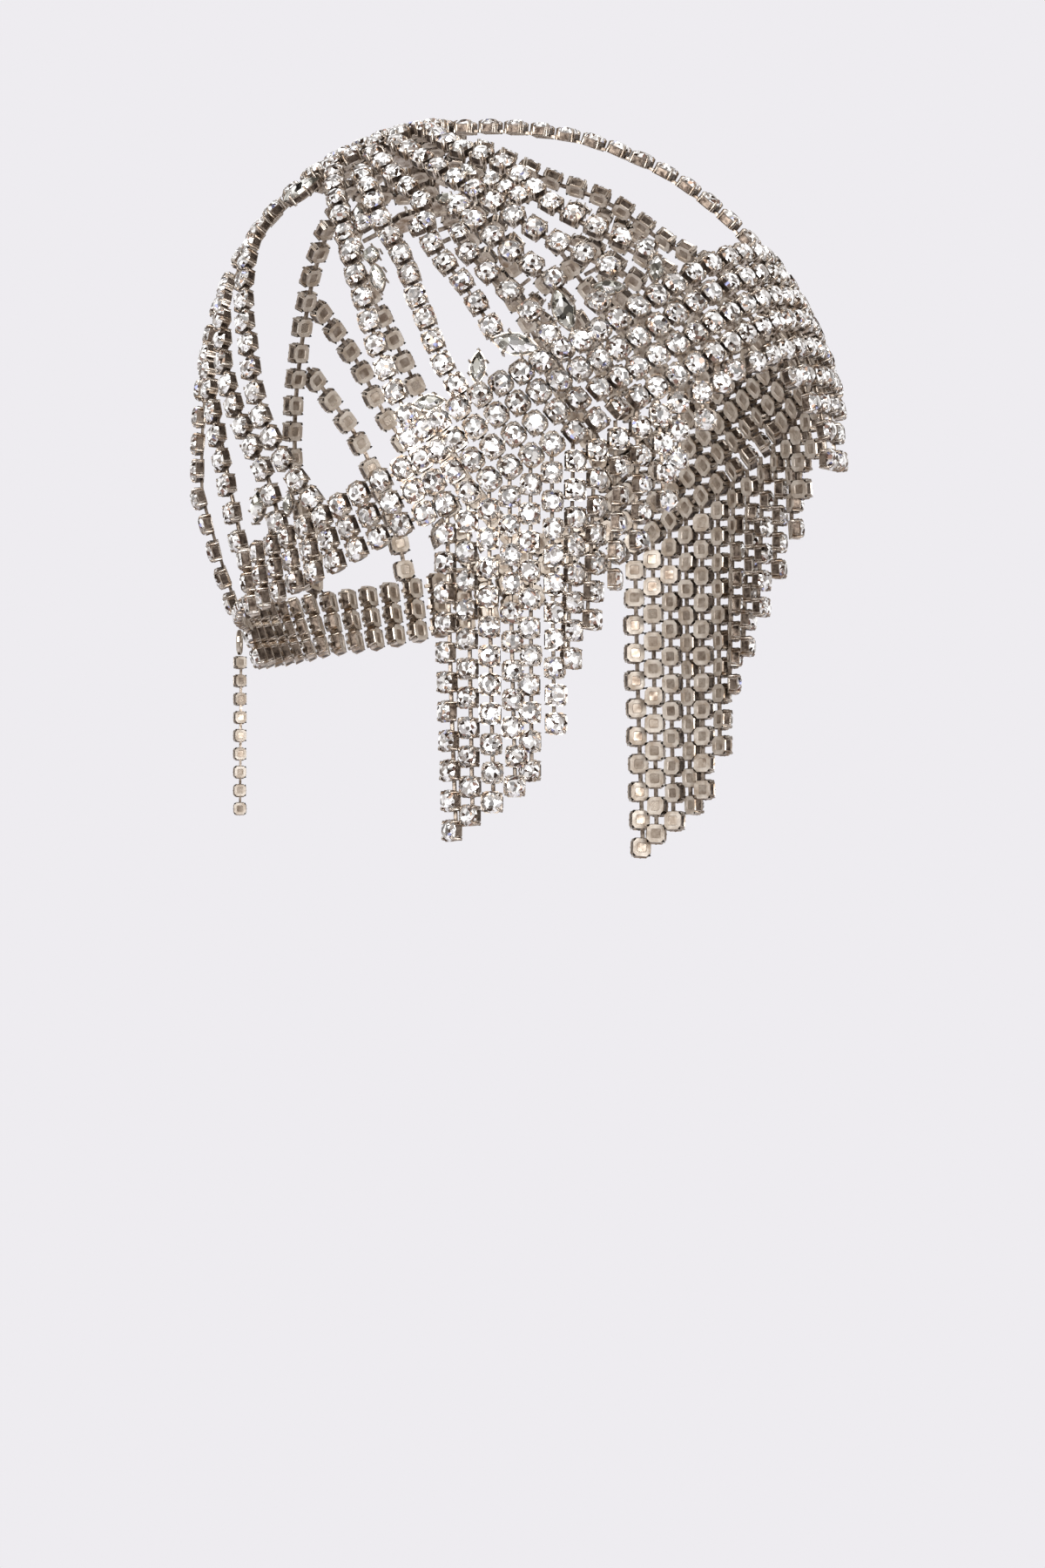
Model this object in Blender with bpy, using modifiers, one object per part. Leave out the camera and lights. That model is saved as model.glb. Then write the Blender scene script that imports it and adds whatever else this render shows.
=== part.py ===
# A rhinestone headpiece: cup chain laid over the form of a head, worn height, in metres.
# +Z is up, the wearer looks along -Y and the wearer's right is -X. The origin is the middle of
# the head at its widest level. A direction is a turn round from the front midline and a rise
# above that level, both in degrees; positive turns go to the wearer's right.

import math

import bmesh
import bpy
from mathutils import Vector
from mathutils.bvhtree import BVHTree

# The head that the piece is made for
HEAD_SIDE = 0.075
HEAD_FRONT = 0.115
HEAD_BACK = 0.075
HEAD_TOP = 0.108
FORM_POWER = 2.1
BACK_SWELL = 0.8
NAPE_CLOSING = 0.200
FORM_REACH = 0.300
FORM_STEP = 0.00002
HALVINGS = 32
BEHIND_TURN = -20
ROUTE_STEPS = 12

# Stone chain: a row of square cups with a cut stone in each
CUP_WIDTH = 0.0061
CUP_LENGTH = 0.0056
CUP_HEIGHT = 0.0043
GIRDLE_HEIGHT = 0.0024
TABLE_WIDTH = 0.0036
LINK_WIDTH = 0.0018
LINK_HEIGHT = 0.0010
CHAIN_PITCH = 0.0080
CHAIN_LIFT = 0.0004
GROW_STEP = 0.0005
GROW_HALVINGS = 6

# Clearance of a piece from what carries it, and the spiral on which a free seat is sought
SEAT_GAP = 0.0003
SEAT_TOLERANCE = 0.00003
SEAT_STEP = 0.0004
SEAT_RINGS = 40
SEAT_WAYS = 12

# Finer chain at the nape
FINE_SCALE = 0.62
FINE_PITCH = 0.0054

# Band of close columns, and the strands that hang from it
BAND_THICKNESS = 0.0043
COLUMN_SPACING = 0.0068
REAR_SPACING = 0.0074
STRIP_SHARE = 0.93
STRIP_WIDTH = 0.0061
EDGE_STEP = 0.0002
FRINGE_PITCH = 0.0082
FRINGE_STATION = 3
FRINGE_FRONT_TURN = 72.5
RIGHT_END_TURN = 123.0
LEFT_END_TURN = 197.0

# Rosette on the crown
CROWN_HALF_WIDTH = 0.035
CROWN_HALF_DEPTH = 0.022
CROWN_SETBACK = 0.024
CROWN_MIDDLE_SHARE = 0.6
CROWN_HOLE = 0.0052
CROWN_SIDES = 24
CROWN_STONE = 0.0049
CROWN_STONE_SIDES = 12
CROWN_STONE_RINGS = [(0.70, 0.00), (1.00, 0.50), (0.58, 1.15)]

# Boat-shaped stones: places round the outline as shares of half the length and of half the
# width, and the rings of foot, girdle and table as shares of the outline and of the height
NAVETTE_OUTLINE = [(1, 0), (0.5, 0.75), (0, 1), (-0.5, 0.75), (-1, 0), (-0.5, -0.75), (0, -1),
                   (0.5, -0.75)]
NAVETTE_RINGS = [(0.72, 0.00), (1.00, 0.45), (0.52, 1.00)]
LARGE_NAVETTE = {"length": 0.0150, "width": 0.0072, "height": 0.0046}
SMALL_NAVETTE = {"length": 0.0104, "width": 0.0052, "height": 0.0040}
TINY_NAVETTE = {"length": 0.0072, "width": 0.0038, "height": 0.0034}
SHORT_OVAL = {"length": 0.0058, "width": 0.0056, "height": 0.0040}

# Lower edge of the band as turn and rise, from the front midline to the back and round it
BAND_LINE = [
    (-6, 24), (0, 24.3), (6, 24), (15, 22), (27, 17), (35, 13), (43, 9), (56, 2), (67, -4.5),
    (80, -10.5), (94, -17), (108, -22), (120, -25), (134, -28.5), (150, -32), (166, -35.5),
    (182, -37.5), (198, -38), (210, -37.5),
]

# Rows of stones in a column, up to the turn of its foot
BAND_ROWS = [(28.5, 4), (31, 5), (74, 4), (210, 3)]

# Distance between the rows of a column, by the turn of its foot
ROW_PITCH = [(0, 0.0076), (60, 0.0076), (100, 0.0066), (210, 0.0066)]

# Lean of a column from square to the band's edge, in degrees, by the turn of its foot
COLUMN_LEAN = [(0, 0), (10, 3), (30, 11), (60, 11), (100, -8), (210, -8)]

# Height at which the fringe ends, by the turn at which a strand leaves the band
FRINGE_TIPS = [
    (2, 0.0073), (5.7, 0.0227), (9.3, 0.0293), (12.9, 0.0353), (16.3, 0.0328), (19.7, 0.0298),
    (23, 0.0262), (26.3, 0.0152), (29.6, 0.0038), (32.8, -0.0077), (36.1, -0.0191), (39.6, -0.0304),
    (43, -0.0416), (46.6, -0.0529), (50.3, -0.0714), (54, -0.0844), (57.9, -0.0890),
    (61.8, -0.0935), (65.9, -0.0973), (70.3, -0.1015), (76, -0.1035),
]

# Routes of the chains as turn and rise. Each is grown both ways from its middle until it
# meets what carries it, so the ends given here lie a little inside the carrier.
FRONT_CENTRE = [(180, 80), (0, 84), (0, 72), (0, 58), (0, 46), (0, 34)]
ROUTES = {
    "fan_d": [(112, 74), (86.7, 68.6), (67.9, 60.2), (58.1, 53.7), (49.2, 45.8), (40.8, 39.3),
              (33.1, 32.6), (28, 25)],
    "fan_e": [(103, 80), (69.6, 70.3), (51.5, 61.5), (44.4, 51.3), (35.8, 43.2), (27.2, 36.9), (20, 31)],
    "fan_c": [(119, 71), (93.5, 63.7), (80.5, 57.4), (76.2, 49.8), (72.3, 44.4), (66.8, 38.4),
              (63, 32.7), (60, 27)],
    "fan_b": [(122, 69), (101.8, 61.1), (90.5, 52.4), (82.7, 45.1), (76.9, 35), (71.7, 24.1),
              (67, 16.2), (62, 8)],
    "fan_a": [(136, 68), (110.5, 58.1), (101.2, 50.2), (93.4, 40.1), (88, 30), (82.5, 19.2),
              (77.7, 10.1), (74, 2)],
    "fan_c_second": [(78, 55), (69.7, 48.2), (61.3, 39.6), (53.1, 30.7), (48.5, 23.3), (44, 16)],
    "fan_c_third": [(72, 58), (64.5, 51.3), (55.4, 42.6), (48.4, 36.7), (46, 33)],
    "back_4": [(162, 70), (160, 58), (157, 48), (155, 38), (154, 14), (151, 2), (150, -8), (152, -19),
               (155, -30.5)],
    "back_1": [(146, 70), (149, 57), (143, 50), (135.2, 43.8), (123.4, 29), (116.4, 15), (108.5, 4.2),
               (98, -8)],
    "back_2": [(154, 44), (138.1, 32.8), (130.6, 23), (122.1, 12.2), (114.5, 2.1), (110, -12)],
    "back_3": [(154, 33), (138.7, 19.8), (133.2, 11), (128.1, 0.2), (125.5, -14)],
}

# Boat-shaped stones: direction, slope of the long axis and size. A slope of 0 lies level, 90
# stands upright, and a positive one rises towards the face.
FIELD_NAVETTES = {
    "navette_field_1": {"at": (72.5, 13), "slope": 5, "size": SMALL_NAVETTE},
    "navette_field_2": {"at": (62.5, 20), "slope": 88, "size": SMALL_NAVETTE},
    "navette_field_3": {"at": (55.5, 25), "slope": -14, "size": LARGE_NAVETTE},
    "navette_field_4": {"at": (46, 30), "slope": -70, "size": LARGE_NAVETTE},
    "navette_field_5": {"at": (37, 32.5), "slope": 0, "size": SMALL_NAVETTE},
    "navette_field_6": {"at": (28.5, 35.5), "slope": 80, "size": SMALL_NAVETTE},
}
FAN_NAVETTES = {
    "navette_ab_upper": {"at": (100, 54), "slope": -75, "size": TINY_NAVETTE},
    "cross_stone": {"at": (92, 46.5), "slope": 0, "size": SHORT_OVAL},
    "navette_ab_lower": {"at": (88, 42), "slope": -70, "size": SMALL_NAVETTE},
    "navette_c": {"at": (72, 55), "slope": 0, "size": TINY_NAVETTE},
    "navette_de": {"at": (64, 63), "slope": -35, "size": TINY_NAVETTE},
    "navette_back_1": {"at": (108, -5), "slope": 80, "size": TINY_NAVETTE},
    "navette_back_2": {"at": (119, -5), "slope": 75, "size": SMALL_NAVETTE},
    "navette_back_3": {"at": (133, 60), "slope": 40, "size": LARGE_NAVETTE},
}

# Nape closure: a fine chain from the right band's end, a ring on it and the free tail below,
# which hangs turned on itself. The tail's turn is where its stones look.
CLOSURE_ROUTE = [(122, -24), (132, -26), (146, -28.5), (160, -30.5), (168, -32)]
RING_FROM_END = 0.0090
RING_HALF_HEIGHT = 0.0032
RING_HALF_WIDTH = 0.0026
RING_WIRE = 0.0007
RING_POINTS = 14
TAIL_CUPS = 9
TAIL_TURN = 235


def clear_scene():
    for item in list(bpy.data.objects):
        bpy.data.objects.remove(item, do_unlink=True)


def new_collection(name):
    group = bpy.data.collections.new(name)
    bpy.context.scene.collection.children.link(group)
    return group


def finish(name, colour, roughness, metallic):
    material = bpy.data.materials.new(name)
    material.use_nodes = True
    shader = material.node_tree.nodes["Principled BSDF"]
    shader.inputs["Base Color"].default_value = (*colour, 1.0)
    shader.inputs["Roughness"].default_value = roughness
    shader.inputs["Metallic"].default_value = metallic
    return material


# The form of the head

def form_depth(point):
    if point.y < 0:
        return HEAD_FRONT
    return HEAD_BACK * (1 + min(point.z, 0) / NAPE_CLOSING)


def form_value(point):
    side = (abs(point.x) / HEAD_SIDE) ** FORM_POWER
    depth = (abs(point.y) / form_depth(point)) ** FORM_POWER
    fullness = FORM_POWER + BACK_SWELL * max(point.y, 0) / HEAD_BACK
    height = (max(point.z, 0) / HEAD_TOP) ** fullness
    return side + depth + height


def form_normal(point):
    slope = []
    for axis in range(3):
        offset = Vector((0, 0, 0))
        offset[axis] = FORM_STEP
        slope.append(form_value(point + offset) - form_value(point - offset))
    return Vector(slope).normalized()


def onto_form(direction):
    """The point of the form's surface in a direction from the head's middle."""
    direction = direction.normalized()
    low = 0.0
    high = FORM_REACH
    for _ in range(HALVINGS):
        middle = (low + high) / 2
        if form_value(direction * middle) < 1:
            low = middle
        else:
            high = middle
    return direction * low


def towards(turn, rise, side=1):
    turn = math.radians(turn)
    rise = math.radians(rise)
    return Vector((-side * math.cos(rise) * math.sin(turn), -math.cos(rise) * math.cos(turn),
                   math.sin(rise)))


def place(turn, rise, side=1):
    return onto_form(towards(turn, rise, side))


def at_height(turn, height, side=1):
    """The point of the form at a turn and a height, found along its level line."""
    level = towards(turn, 0, side)
    low = 0.0
    high = FORM_REACH
    for _ in range(HALVINGS):
        middle = (low + high) / 2
        if form_value(level * middle + Vector((0, 0, height))) < 1:
            low = middle
        else:
            high = middle
    return level * low + Vector((0, 0, height))


def over(x, y):
    """The point of the crown above a place on the plan."""
    depth = HEAD_FRONT if y < 0 else HEAD_BACK
    rest = 1 - (abs(x) / HEAD_SIDE) ** FORM_POWER - (abs(y) / depth) ** FORM_POWER
    fullness = FORM_POWER + BACK_SWELL * max(y, 0) / HEAD_BACK
    return Vector((x, y, HEAD_TOP * rest ** (1 / fullness)))


def smooth_route(points, side=1):
    """A smooth line over the form through the chosen points."""
    knots = [place(turn, rise, side) for turn, rise in points]
    knots = [knots[0] * 2 - knots[1]] + knots + [knots[-1] * 2 - knots[-2]]
    line = []
    for index in range(1, len(knots) - 2):
        before, start, end, after = knots[index - 1:index + 3]
        for step in range(ROUTE_STEPS):
            share = step / ROUTE_STEPS
            curve = (start * 2 + (end - before) * share
                     + (before * 2 - start * 5 + end * 4 - after) * share ** 2
                     + (start * 3 - before - end * 3 + after) * share ** 3) / 2
            line.append(onto_form(curve))
    line.append(onto_form(knots[-2]))
    return line


class Route:
    """A line that gives the place, the way along it and the way out at a distance."""

    def __init__(self, line):
        self.line = line
        self.marks = [0.0]
        for start, end in zip(line, line[1:]):
            self.marks.append(self.marks[-1] + (end - start).length)
        self.length = self.marks[-1]

    def point(self, distance):
        index = 0
        while index < len(self.marks) - 2 and self.marks[index + 1] < distance:
            index += 1
        span = self.marks[index + 1] - self.marks[index]
        share = (distance - self.marks[index]) / span
        return self.line[index].lerp(self.line[index + 1], share)

    def frame(self, distance):
        reach = CHAIN_PITCH / 4
        along = self.point(distance + reach) - self.point(distance - reach)
        centre = self.point(distance)
        out = form_normal(centre)
        along = (along - out * along.dot(out)).normalized()
        return centre, along, out, out.cross(along)


# Solids

def loft(rings):
    """A closed solid through rings of points, with its first and last ring filled."""
    body = bmesh.new()
    loops = [[body.verts.new(point) for point in ring] for ring in rings]
    for first, second in zip(loops, loops[1:]):
        for index in range(len(first)):
            after = (index + 1) % len(first)
            body.faces.new((first[index], first[after], second[after], second[index]))
    body.faces.new(list(reversed(loops[0])))
    body.faces.new(loops[-1])
    bmesh.ops.recalc_face_normals(body, faces=body.faces)
    return body


def cup_section(scale):
    half = CUP_WIDTH * scale / 2
    table = TABLE_WIDTH * scale / 2
    girdle = GIRDLE_HEIGHT * scale
    top = CUP_HEIGHT * scale
    return [(-half, 0), (half, 0), (half, girdle), (table, top), (-table, top), (-half, girdle)]


def link_section(scale):
    half = LINK_WIDTH * scale / 2
    top = LINK_HEIGHT * scale
    return [(-half, 0), (half, 0), (half, top / 2), (half / 2, top), (-half / 2, top),
            (-half, top / 2)]


def section_at(frame, section, lift=CHAIN_LIFT):
    centre, along, out, across = frame
    return [centre + across * wide + out * (high + lift) for wide, high in section]


def chain_rings(frame_at, first, count, pitch, scale=1.0):
    """Rings of a chain of cups: a full section at both ends of a cup and a thin link between."""
    half = CUP_LENGTH * scale / 2
    rings = []
    for index in range(count):
        centre = first + index * pitch
        rings.append(section_at(frame_at(centre - half), cup_section(scale)))
        rings.append(section_at(frame_at(centre + half), cup_section(scale)))
        if index < count - 1:
            rings.append(section_at(frame_at(centre + pitch / 2), link_section(scale)))
    return rings


def navette_rings(centre, along, out, size):
    """A pointed oval stone in its setting: narrow foot, girdle, crown facets and a table."""
    across = out.cross(along)
    rings = []
    for scale, height in NAVETTE_RINGS:
        ring = []
        for long_share, wide_share in NAVETTE_OUTLINE:
            ring.append(centre + along * (long_share * scale * size["length"] / 2)
                        + across * (wide_share * scale * size["width"] / 2)
                        + out * (height * size["height"] + CHAIN_LIFT))
        rings.append(ring)
    return rings


class Workshop:
    """Keeps the pieces made so far, so that each new one can be seated against them."""

    def __init__(self, group):
        self.group = group
        self.corners = []
        self.faces = []
        self.tree = None

    def remember(self, mesh):
        start = len(self.corners)
        self.corners += [vertex.co.copy() for vertex in mesh.vertices]
        self.faces += [[start + index for index in face.vertices] for face in mesh.polygons]
        self.tree = BVHTree.FromPolygons(self.corners, self.faces)

    def add(self, name, body, material):
        mesh = bpy.data.meshes.new(name)
        body.to_mesh(mesh)
        body.free()
        mesh.materials.append(material.copy())
        mesh.materials[0].name = name
        item = bpy.data.objects.new(name, mesh)
        self.group.objects.link(item)
        return item

    def add_solid(self, name, body, material):
        item = self.add(name, body, material)
        self.remember(item.data)
        return item

    def room(self, body):
        """The least distance from a solid to the pieces made so far, or -1 where they cross."""
        if BVHTree.FromBMesh(body).overlap(self.tree):
            return -1.0
        samples = [vertex.co for vertex in body.verts]
        samples += [edge.verts[0].co.lerp(edge.verts[1].co, 0.5) for edge in body.edges]
        samples += [face.calc_center_median() for face in body.faces]
        return min(self.tree.find_nearest(sample)[3] for sample in samples)


def room_of_cup(shop, frame_at, centre, scale):
    body = loft(chain_rings(frame_at, centre, 1, CHAIN_PITCH, scale))
    room = shop.room(body)
    body.free()
    return room


def grow_end(shop, frame_at, start, end, scale):
    """How far an end cup can go from start towards end before it meets its carrier."""
    step = GROW_STEP if end > start else -GROW_STEP
    place_now = start
    while abs(end - place_now) > abs(step):
        if room_of_cup(shop, frame_at, place_now + step, scale) < SEAT_GAP:
            break
        place_now += step
    else:
        return place_now
    low = place_now
    high = place_now + step
    for _ in range(GROW_HALVINGS):
        middle = (low + high) / 2
        if room_of_cup(shop, frame_at, middle, scale) < SEAT_GAP:
            high = middle
        else:
            low = middle
    return low


def seated_chain(shop, name, route, material, pitch=CHAIN_PITCH, scale=1.0):
    """A chain laid on its route, from carrier to carrier, with its pitch evened out."""
    half = CUP_LENGTH * scale / 2
    middle = route.length / 2
    first = grow_end(shop, route.frame, middle, half, scale)
    last = grow_end(shop, route.frame, middle, route.length - half, scale)
    spans = max(1, round((last - first) / pitch))
    rings = chain_rings(route.frame, first, spans + 1, (last - first) / spans, scale)
    shop.add_solid(name, loft(rings), material)
    return last


def seated_navette(shop, name, row, side, material):
    """A boat-shaped stone at the nearest place to its own where it just clears its neighbours."""
    wanted = place(*row["at"], side)
    out = form_normal(wanted)
    forward = (Vector((0, 0, 1)).cross(out) * side).normalized()
    upward = out.cross(forward) * side
    slope = math.radians(row["slope"])
    long_axis = forward * math.cos(slope) + upward * math.sin(slope)
    seats = []
    for ring in range(SEAT_RINGS):
        for index in range(SEAT_WAYS if ring else 1):
            angle = 2 * math.pi * index / SEAT_WAYS
            shift = forward * math.cos(angle) + upward * math.sin(angle)
            seat = onto_form(wanted + shift * (ring * SEAT_STEP))
            normal = form_normal(seat)
            along = (long_axis - normal * long_axis.dot(normal)).normalized()
            body = loft(navette_rings(seat, along, normal, row["size"]))
            room = shop.room(body)
            body.free()
            crossing = room < SEAT_GAP - SEAT_TOLERANCE
            seats.append((crossing, abs(room - SEAT_GAP), seat, along, normal))
        best = min(seats, key=lambda found: found[:2])
        if not best[0] and best[1] < SEAT_GAP:
            break
    _, _, seat, along, normal = best
    shop.add_solid(name, loft(navette_rings(seat, along, normal, row["size"])), material)


# Band and fringe

def between(table, value):
    """Straight-line reading of a table of pairs."""
    for (low, low_value), (high, high_value) in zip(table, table[1:]):
        if value <= high:
            share = (value - low) / (high - low)
            return low_value + (high_value - low_value) * share
    return table[-1][1]


def turn_of(point, side):
    turn = math.degrees(math.atan2(-point.x * side, -point.y))
    return turn if turn > BEHIND_TURN else turn + 360


def band_columns(side, end_turn):
    """The columns of the band from the front midline to the back, each as its line of places."""
    edge = Route(smooth_route(BAND_LINE, side))
    start = 0.0
    while turn_of(edge.point(start), side) < 0:
        start += EDGE_STEP
    columns = []
    distance = start + COLUMN_SPACING / 2
    while turn_of(edge.point(distance), side) < end_turn:
        foot, along, out, across = edge.frame(distance)
        turn = turn_of(foot, side)
        upward = across if across.z > 0 else -across
        lean = math.radians(between(COLUMN_LEAN, turn))
        way = upward * math.cos(lean) + along * math.sin(lean)
        centres = [foot]
        rows = next(count for limit, count in BAND_ROWS if turn <= limit)
        for _ in range(rows - 1):
            here = centres[-1]
            normal = form_normal(here)
            way = (way - normal * way.dot(normal)).normalized()
            centres.append(onto_form(here + way * between(ROW_PITCH, turn)))
        columns.append({"turn": turn, "centres": centres, "along": along})
        in_front = turn < FRINGE_FRONT_TURN
        distance += COLUMN_SPACING if in_front else REAR_SPACING
    return columns


def hanging_places(column, side):
    """Places of the fringe strand from a column's foot to its tip, none behind the temple."""
    foot = column["centres"][0]
    if column["turn"] > FRINGE_FRONT_TURN:
        return []
    drop = foot.z - between(FRINGE_TIPS, column["turn"])
    count = max(0, round(drop / FRINGE_PITCH))
    turn = turn_of(foot, side)
    return [at_height(turn, foot.z - drop * (index + 1) / count, side) for index in range(count)]


def strip_edges(point, across, width):
    """Both edges of a strip, square to the form."""
    normal = form_normal(point)
    flat = (across - normal * across.dot(normal)).normalized()
    return point - flat * (width / 2), point + flat * (width / 2)


def column_strip(body, column, neighbour, side):
    """Pairs of corners down one column, and how many of them the band takes."""
    centres = column["centres"]
    step = (centres[1] - centres[0]).normalized() * (CUP_LENGTH / 2)
    last_step = (centres[-1] - centres[-2]).normalized() * (CUP_LENGTH / 2)
    middle = len(centres) // 2
    places = [onto_form(centres[-1] + last_step), centres[middle], onto_form(centres[0] - step)]
    stations = []
    for spot, row in zip(places, (len(centres) - 1, middle, 0)):
        beside = neighbour["centres"][min(row, len(neighbour["centres"]) - 1)]
        width = min(STRIP_WIDTH, (beside - centres[row]).length * STRIP_SHARE)
        stations.append(strip_edges(spot, column["along"], width))
    band_stations = len(stations)
    hanging = hanging_places(column, side)
    if hanging:
        for spot in hanging[1::FRINGE_STATION] + [hanging[-1] - Vector((0, 0, CUP_LENGTH / 2))]:
            across = Vector((0, 0, 1)).cross(form_normal(spot))
            across = across if across.dot(column["along"]) > 0 else -across
            stations.append(strip_edges(spot, across, STRIP_WIDTH))
    corners = [[body.verts.new(edge) for edge in station] for station in stations]
    return corners, band_stations


def thicken(shop, item, thickness):
    wall = item.modifiers.new("Wall", "SOLIDIFY")
    wall.thickness = thickness
    wall.offset = 1.0
    wall.use_even_offset = False
    bpy.context.view_layer.update()
    shop.remember(item.evaluated_get(bpy.context.evaluated_depsgraph_get()).data)


def turn_outwards(body):
    """Makes the faces of an open sheet point away from the head."""
    bmesh.ops.recalc_face_normals(body, faces=body.faces)
    body.faces.ensure_lookup_table()
    sample = body.faces[0]
    if sample.normal.dot(form_normal(sample.calc_center_median())) < 0:
        bmesh.ops.reverse_faces(body, faces=body.faces)


def band_solid(shop, name, side, end_turn, material):
    """One sheet of strips and webs with the fringe strips hanging from it, then thickened."""
    columns = band_columns(side, end_turn)
    body = bmesh.new()
    strips = []
    for index, column in enumerate(columns):
        neighbour = columns[index - 1 if index else 1]
        strips.append(column_strip(body, column, neighbour, side))
    for corners, _ in strips:
        for upper, lower in zip(corners, corners[1:]):
            body.faces.new((upper[0], upper[1], lower[1], lower[0]))
    for (first, band_stations), (second, _) in zip(strips, strips[1:]):
        for level in range(band_stations - 1):
            body.faces.new((first[level][1], second[level][0], second[level + 1][0],
                            first[level + 1][1]))
    turn_outwards(body)
    thicken(shop, shop.add(name, body, material), BAND_THICKNESS)


# Crown

def crown_ring(scale):
    ring = []
    for index in range(CROWN_SIDES):
        angle = 2 * math.pi * index / CROWN_SIDES
        ring.append(over(CROWN_HALF_WIDTH * scale * math.cos(angle),
                         CROWN_SETBACK + CROWN_HALF_DEPTH * scale * math.sin(angle)))
    return ring


def crown_rosette(shop, material):
    """An oval plate of set stones over the crown, with a round hole for the middle stone."""
    body = bmesh.new()
    inner = []
    for index in range(CROWN_SIDES):
        angle = 2 * math.pi * index / CROWN_SIDES
        inner.append(over(CROWN_HOLE * math.cos(angle), CROWN_SETBACK + CROWN_HOLE * math.sin(angle)))
    rings = [inner, crown_ring(CROWN_MIDDLE_SHARE), crown_ring(1)]
    loops = [[body.verts.new(point) for point in ring] for ring in rings]
    for first, second in zip(loops, loops[1:]):
        for index in range(CROWN_SIDES):
            after = (index + 1) % CROWN_SIDES
            body.faces.new((first[index], second[index], second[after], first[after]))
    turn_outwards(body)
    thicken(shop, shop.add("crown_rosette", body, material), CUP_HEIGHT)


def crown_stone(shop, material):
    seat = over(0, CROWN_SETBACK)
    out = form_normal(seat)
    side = Vector((1, 0, 0))
    depth = out.cross(side)
    rings = []
    for scale, height in CROWN_STONE_RINGS:
        ring = []
        for index in range(CROWN_STONE_SIDES):
            angle = 2 * math.pi * index / CROWN_STONE_SIDES
            flat = side * math.cos(angle) + depth * math.sin(angle)
            ring.append(seat + flat * (CROWN_STONE * scale) + out * (CUP_HEIGHT * height))
        rings.append(ring)
    shop.add_solid("crown_centre_stone", loft(rings), material)


# Nape closure

def ring_curve(shop, name, centre, across, material):
    """An upright oval ring of wire."""
    curve = bpy.data.curves.new(name, "CURVE")
    curve.dimensions = "3D"
    curve.bevel_depth = RING_WIRE
    curve.bevel_resolution = 1
    spline = curve.splines.new("POLY")
    spline.points.add(RING_POINTS - 1)
    spline.use_cyclic_u = True
    for index, point in enumerate(spline.points):
        angle = 2 * math.pi * index / RING_POINTS
        spot = (centre + across * (RING_HALF_WIDTH * math.cos(angle))
                + Vector((0, 0, RING_HALF_HEIGHT * math.sin(angle))))
        point.co = (*spot, 1.0)
    curve.materials.append(material)
    item = bpy.data.objects.new(name, curve)
    shop.group.objects.link(item)
    return item


def closure(shop, metal, stone):
    route = Route(smooth_route(CLOSURE_ROUTE))
    last = seated_chain(shop, "closure_chain", route, stone, FINE_PITCH, FINE_SCALE)
    end, along, out, across = route.frame(last - RING_FROM_END)
    half_cup = CUP_WIDTH * FINE_SCALE / 2
    drop = half_cup + SEAT_GAP + RING_WIRE + RING_HALF_HEIGHT
    level_out = Vector((out.x, out.y, 0)).normalized()
    centre = end + out * (CHAIN_LIFT + CUP_HEIGHT * FINE_SCALE / 2) - Vector((0, 0, drop))
    level_across = Vector((0, 0, 1)).cross(level_out)
    ring_curve(shop, "clasp_ring", centre, level_across, metal)
    below = RING_HALF_HEIGHT + RING_WIRE + SEAT_GAP + CUP_LENGTH * FINE_SCALE / 2
    down = Vector((0, 0, -1))
    tail_out = towards(TAIL_TURN, 0)
    top = centre + down * below - tail_out * (CHAIN_LIFT + CUP_HEIGHT * FINE_SCALE / 2)

    def tail_frame(distance):
        return top + down * distance, down, tail_out, tail_out.cross(down)

    rings = chain_rings(tail_frame, 0.0, TAIL_CUPS, FINE_PITCH, FINE_SCALE)
    shop.add_solid("extender_tail", loft(rings), stone)


def build():
    clear_scene()
    group = new_collection("rhinestone_headpiece")
    shop = Workshop(group)
    stone = finish("set_stones", (0.80, 0.79, 0.80), 0.12, 0.55)
    metal = finish("silver_metal", (0.62, 0.59, 0.56), 0.25, 1.0)
    crystal = finish("crystal", (0.86, 0.86, 0.88), 0.05, 0.35)
    band_solid(shop, "band_right", 1, RIGHT_END_TURN, stone)
    band_solid(shop, "band_left", -1, LEFT_END_TURN, stone)
    crown_rosette(shop, stone)
    crown_stone(shop, crystal)
    both_sides = ((1, "right"), (-1, "left"))
    closure(shop, metal, stone)
    seated_chain(shop, "front_centre_chain", Route(smooth_route(FRONT_CENTRE)), stone)
    for name, row in FIELD_NAVETTES.items():
        for side, word in both_sides:
            seated_navette(shop, name + "_" + word, row, side, crystal)
    for name, points in ROUTES.items():
        for side, word in both_sides:
            seated_chain(shop, name + "_" + word, Route(smooth_route(points, side)), stone)
    for name, row in FAN_NAVETTES.items():
        for side, word in both_sides:
            seated_navette(shop, name + "_" + word, row, side, crystal)


build()
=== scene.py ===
import math
import random

import bmesh
import bpy
from mathutils import Matrix, Vector


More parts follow.
